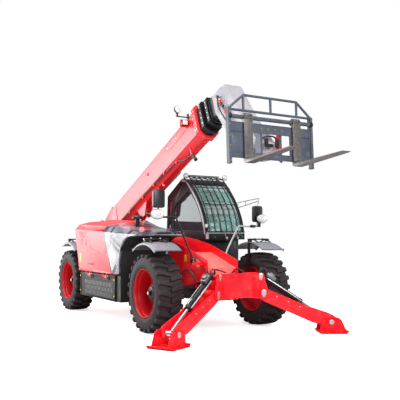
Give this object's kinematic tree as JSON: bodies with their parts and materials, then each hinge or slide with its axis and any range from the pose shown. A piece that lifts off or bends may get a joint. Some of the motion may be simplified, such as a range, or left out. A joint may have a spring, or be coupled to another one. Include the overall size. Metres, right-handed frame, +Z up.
{
  "type": "telehandler",
  "caption": "Rigid four-wheel telehandler with a telescopic boom, pallet-fork carriage, side cab and hinged front stabilisers.",
  "frame": {"origin": "on the ground under the middle of the overall box", "axes": "+X forward, the way the forks point; +Y to the left; +Z up"},
  "size_m": [7.3862, 3.5092, 3.9554],
  "materials": {
    "red_paint": "gloss paint",
    "black_paint": "satin paint",
    "charcoal_paint": "satin paint, worn",
    "grey_paint": "satin paint",
    "grey_plastic": "moulded",
    "tyre_rubber": "moulded",
    "chrome": "polished",
    "tinted_glass": "clear, tinted",
    "gloss_plastic": "moulded, glossy",
    "seat_fabric": "woven",
    "cast_steel": "cast"
  },
  "bodies": {
    "chassis": {"air_intake": "black_paint", "arch_liner": "black_paint", "axle_front": "black_paint", "axle_rear": "black_paint", "cab_frame": "black_paint", "cab_step": "black_paint", "chassis_frame": "red_paint", "cowl": "gloss_plastic", "engine_block": "cast_steel", "left_tank": "black_paint", "mirror_left": "black_paint", "mirror_right": "black_paint", "seat": "seat_fabric", "side_box": "black_paint", "stabiliser_bracket": "red_paint", "steering_column": "black_paint", "window_quarter": "tinted_glass", "window_rear": "tinted_glass", "window_right": "tinted_glass", "windscreen": "tinted_glass", "windscreen_guard": "black_paint"},
    "cab_door": {"cab_door": "black_paint", "door_glass": "tinted_glass"},
    "engine_hood": {"engine_hood": "red_paint"},
    "boom_base": {"boom_base": "red_paint"},
    "boom_section_2": {"boom_section_2": "black_paint"},
    "boom_section_3": {"boom_section_3": "black_paint"},
    "boom_section_4": {"boom_section_4": "grey_paint"},
    "carriage": {"fork_carriage": "charcoal_paint"},
    "fork_left": {"fork_left": "charcoal_paint"},
    "fork_right": {"fork_right": "charcoal_paint"},
    "lift_barrel": {"lift_cylinder_barrel": "black_paint"},
    "lift_rod": {"lift_cylinder_rod": "chrome"},
    "knuckle_front_left": {"knuckle_front_left": "black_paint", "fender_front_left": "grey_plastic"},
    "wheel_front_left": {"rim_front_left": "red_paint", "tyre_front_left": "tyre_rubber"},
    "knuckle_front_right": {"knuckle_front_right": "black_paint", "fender_front_right": "grey_plastic"},
    "wheel_front_right": {"rim_front_right": "red_paint", "tyre_front_right": "tyre_rubber"},
    "knuckle_rear_left": {"knuckle_rear_left": "black_paint", "fender_rear_left": "grey_plastic"},
    "wheel_rear_left": {"rim_rear_left": "red_paint", "tyre_rear_left": "tyre_rubber"},
    "knuckle_rear_right": {"knuckle_rear_right": "black_paint", "fender_rear_right": "grey_plastic"},
    "wheel_rear_right": {"rim_rear_right": "red_paint", "tyre_rear_right": "tyre_rubber"},
    "arm_left": {"stabiliser_arm_left": "red_paint"},
    "foot_left": {"stabiliser_foot_left": "red_paint"},
    "arm_barrel_left": {"stabiliser_cylinder_left_barrel": "black_paint"},
    "arm_rod_left": {"stabiliser_cylinder_left_rod": "chrome"},
    "arm_right": {"stabiliser_arm_right": "red_paint"},
    "foot_right": {"stabiliser_foot_right": "red_paint"},
    "arm_barrel_right": {"stabiliser_cylinder_right_barrel": "black_paint"},
    "arm_rod_right": {"stabiliser_cylinder_right_rod": "chrome"}
  },
  "joints": [
    {"name": "steer_front_left", "type": "hinge", "parent": "chassis", "child": "knuckle_front_left", "pos_m": [0.86689, 0.72, 0.625], "axis": [0, 0, 1], "range_deg": [-35, 35]},
    {"name": "spin_front_left", "type": "hinge", "parent": "knuckle_front_left", "child": "wheel_front_left", "pos_m": [0.86689, 1.015, 0.625], "axis": [0, 1, 0], "continuous": true},
    {"name": "steer_front_right", "type": "hinge", "parent": "chassis", "child": "knuckle_front_right", "pos_m": [0.86689, -0.72, 0.625], "axis": [0, 0, 1], "range_deg": [-35, 35]},
    {"name": "spin_front_right", "type": "hinge", "parent": "knuckle_front_right", "child": "wheel_front_right", "pos_m": [0.86689, -1.015, 0.625], "axis": [0, 1, 0], "continuous": true},
    {"name": "steer_rear_left", "type": "hinge", "parent": "chassis", "child": "knuckle_rear_left", "pos_m": [-2.93912, 0.72, 0.625], "axis": [0, 0, 1], "range_deg": [-35, 35]},
    {"name": "spin_rear_left", "type": "hinge", "parent": "knuckle_rear_left", "child": "wheel_rear_left", "pos_m": [-2.93912, 1.015, 0.625], "axis": [0, 1, 0], "continuous": true},
    {"name": "steer_rear_right", "type": "hinge", "parent": "chassis", "child": "knuckle_rear_right", "pos_m": [-2.93912, -0.72, 0.625], "axis": [0, 0, 1], "range_deg": [-35, 35]},
    {"name": "spin_rear_right", "type": "hinge", "parent": "knuckle_rear_right", "child": "wheel_rear_right", "pos_m": [-2.93912, -1.015, 0.625], "axis": [0, 1, 0], "continuous": true},
    {"name": "boom_lift", "type": "hinge", "parent": "chassis", "child": "boom_base", "pos_m": [-3.38312, 0, 1.788], "axis": [0, -1, 0], "range_deg": [-23.5, 47.5]},
    {"name": "boom_extend_2", "type": "slide", "parent": "boom_base", "child": "boom_section_2", "axis": [0.9239, 0, 0.3827], "range_m": [0, 3.35]},
    {"name": "boom_extend_3", "type": "slide", "parent": "boom_section_2", "child": "boom_section_3", "axis": [0.9239, 0, 0.3827], "range_m": [0, 3.35]},
    {"name": "boom_extend_4", "type": "slide", "parent": "boom_section_3", "child": "boom_section_4", "axis": [0.9239, 0, 0.3827], "range_m": [0, 3.35]},
    {"name": "carriage_tilt", "type": "hinge", "parent": "boom_section_4", "child": "carriage", "pos_m": [2.42694, 0, 2.76002], "axis": [0, 1, 0], "range_deg": [-18, 95]},
    {"name": "fork_slide_left", "type": "slide", "parent": "carriage", "child": "fork_left", "axis": [0, -1, 0], "range_m": [0, 0.16]},
    {"name": "fork_slide_right", "type": "slide", "parent": "carriage", "child": "fork_right", "axis": [0, 1, 0], "range_m": [0, 0.16]},
    {"name": "lift_cylinder_swing", "type": "hinge", "parent": "chassis", "child": "lift_barrel", "pos_m": [-3.28312, 0, 0.85], "axis": [0, -1, 0], "range_deg": [-17.48, 35.13]},
    {"name": "lift_cylinder_stroke", "type": "slide", "parent": "lift_barrel", "child": "lift_rod", "axis": [0.8216, 0, 0.57], "range_m": [-0.3071, 0.6157]},
    {"name": "stabiliser_swing_left", "type": "hinge", "parent": "chassis", "child": "arm_left", "pos_m": [1.69327, 0.48573, 0.646], "axis": [0.8829, -0.4695, 0], "range_deg": [-3, 86]},
    {"name": "stabiliser_foot_tilt_left", "type": "hinge", "parent": "arm_left", "child": "foot_left", "pos_m": [2.19202, 1.42373, 0.18], "axis": [0.8829, -0.4695, 0], "range_deg": [-20, 20]},
    {"name": "stabiliser_cylinder_swing_left", "type": "hinge", "parent": "chassis", "child": "arm_barrel_left", "pos_m": [1.67118, 0.44418, 0.907], "axis": [0.8829, -0.4695, 0], "range_deg": [-3.2, 83.42]},
    {"name": "stabiliser_cylinder_stroke_left", "type": "slide", "parent": "arm_barrel_left", "child": "arm_rod_left", "axis": [0.3927, 0.7385, -0.5481], "range_m": [-0.3639, 0.0166]},
    {"name": "stabiliser_swing_right", "type": "hinge", "parent": "chassis", "child": "arm_right", "pos_m": [1.69327, -0.48573, 0.646], "axis": [-0.8829, -0.4695, 0], "range_deg": [-3, 86]},
    {"name": "stabiliser_foot_tilt_right", "type": "hinge", "parent": "arm_right", "child": "foot_right", "pos_m": [2.19202, -1.42373, 0.18], "axis": [-0.8829, -0.4695, 0], "range_deg": [-20, 20]},
    {"name": "stabiliser_cylinder_swing_right", "type": "hinge", "parent": "chassis", "child": "arm_barrel_right", "pos_m": [1.67118, -0.44418, 0.907], "axis": [-0.8829, -0.4695, 0], "range_deg": [-3.2, 83.42]},
    {"name": "stabiliser_cylinder_stroke_right", "type": "slide", "parent": "arm_barrel_right", "child": "arm_rod_right", "axis": [0.3927, -0.7385, -0.5481], "range_m": [-0.3639, 0.0166]},
    {"name": "cab_door_hinge", "type": "hinge", "parent": "chassis", "child": "cab_door", "pos_m": [-1.03811, 1.162, 1.5], "axis": [0, 0, 1], "range_deg": [0, 100]},
    {"name": "engine_hood_hinge", "type": "hinge", "parent": "chassis", "child": "engine_hood", "pos_m": [-1.73312, -0.322, 1.79], "axis": [-1, 0, 0], "range_deg": [0, 55]}
  ],
  "couplings": [
    {"joint": "steer_front_right", "follows": "steer_front_left", "ratio": 1},
    {"joint": "steer_rear_right", "follows": "steer_rear_left", "ratio": 1},
    {"joint": "boom_extend_3", "follows": "boom_extend_2", "ratio": 1},
    {"joint": "boom_extend_4", "follows": "boom_extend_2", "ratio": 1},
    {"joint": "lift_cylinder_swing", "follows": "boom_lift", "ratio": 0.7355},
    {"joint": "lift_cylinder_stroke", "follows": "boom_lift", "m_per_rad": 0.7366},
    {"joint": "stabiliser_cylinder_swing_left", "follows": "stabiliser_swing_left", "ratio": 0.9665},
    {"joint": "stabiliser_cylinder_stroke_left", "follows": "stabiliser_swing_left", "m_per_rad": -0.2398},
    {"joint": "stabiliser_cylinder_swing_right", "follows": "stabiliser_swing_right", "ratio": 0.9665},
    {"joint": "stabiliser_cylinder_stroke_right", "follows": "stabiliser_swing_right", "m_per_rad": -0.2398}
  ]
}
